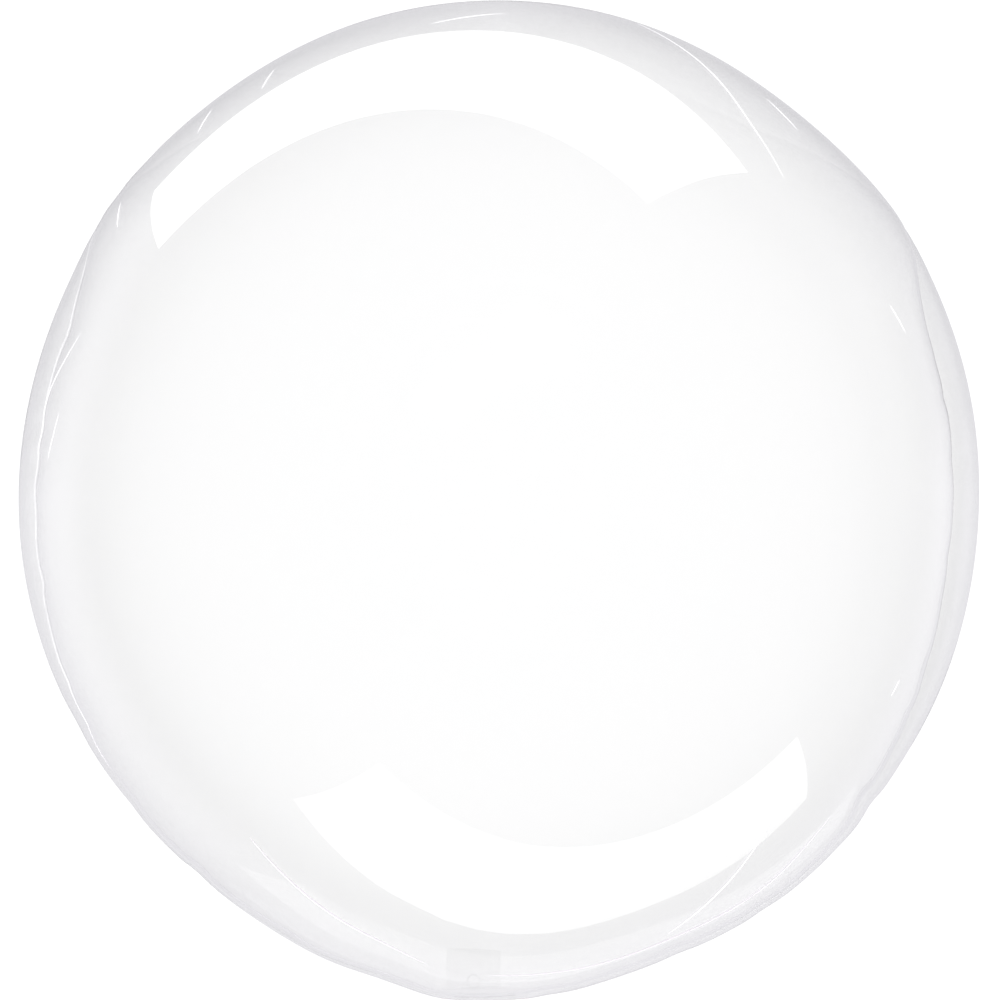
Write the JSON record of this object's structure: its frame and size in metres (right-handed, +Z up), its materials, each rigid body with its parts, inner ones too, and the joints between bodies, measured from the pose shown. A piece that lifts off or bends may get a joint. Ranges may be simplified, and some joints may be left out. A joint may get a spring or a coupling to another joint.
{
  "type": "clear bubble balloon",
  "caption": "Inflated clear film balloon, nearly round, with a weld line round it and a flat valve tab; lies on a small flat spot.",
  "frame": {"origin": "centre of the small flat spot that the balloon lies on", "axes": "+Z up, the balloon's longest way; the front sheet, which the picture shows, faces -Y; +X is the picture's right"},
  "size_m": [0.538, 0.548, 0.5602],
  "materials": {
    "clear_film": "glossy see-through stretch film",
    "tab_film": "see-through welded film, slightly hazy"
  },
  "bodies": {
    "root": {"balloon_film": "clear_film", "valve_tab": "tab_film"}
  },
  "joints": []
}
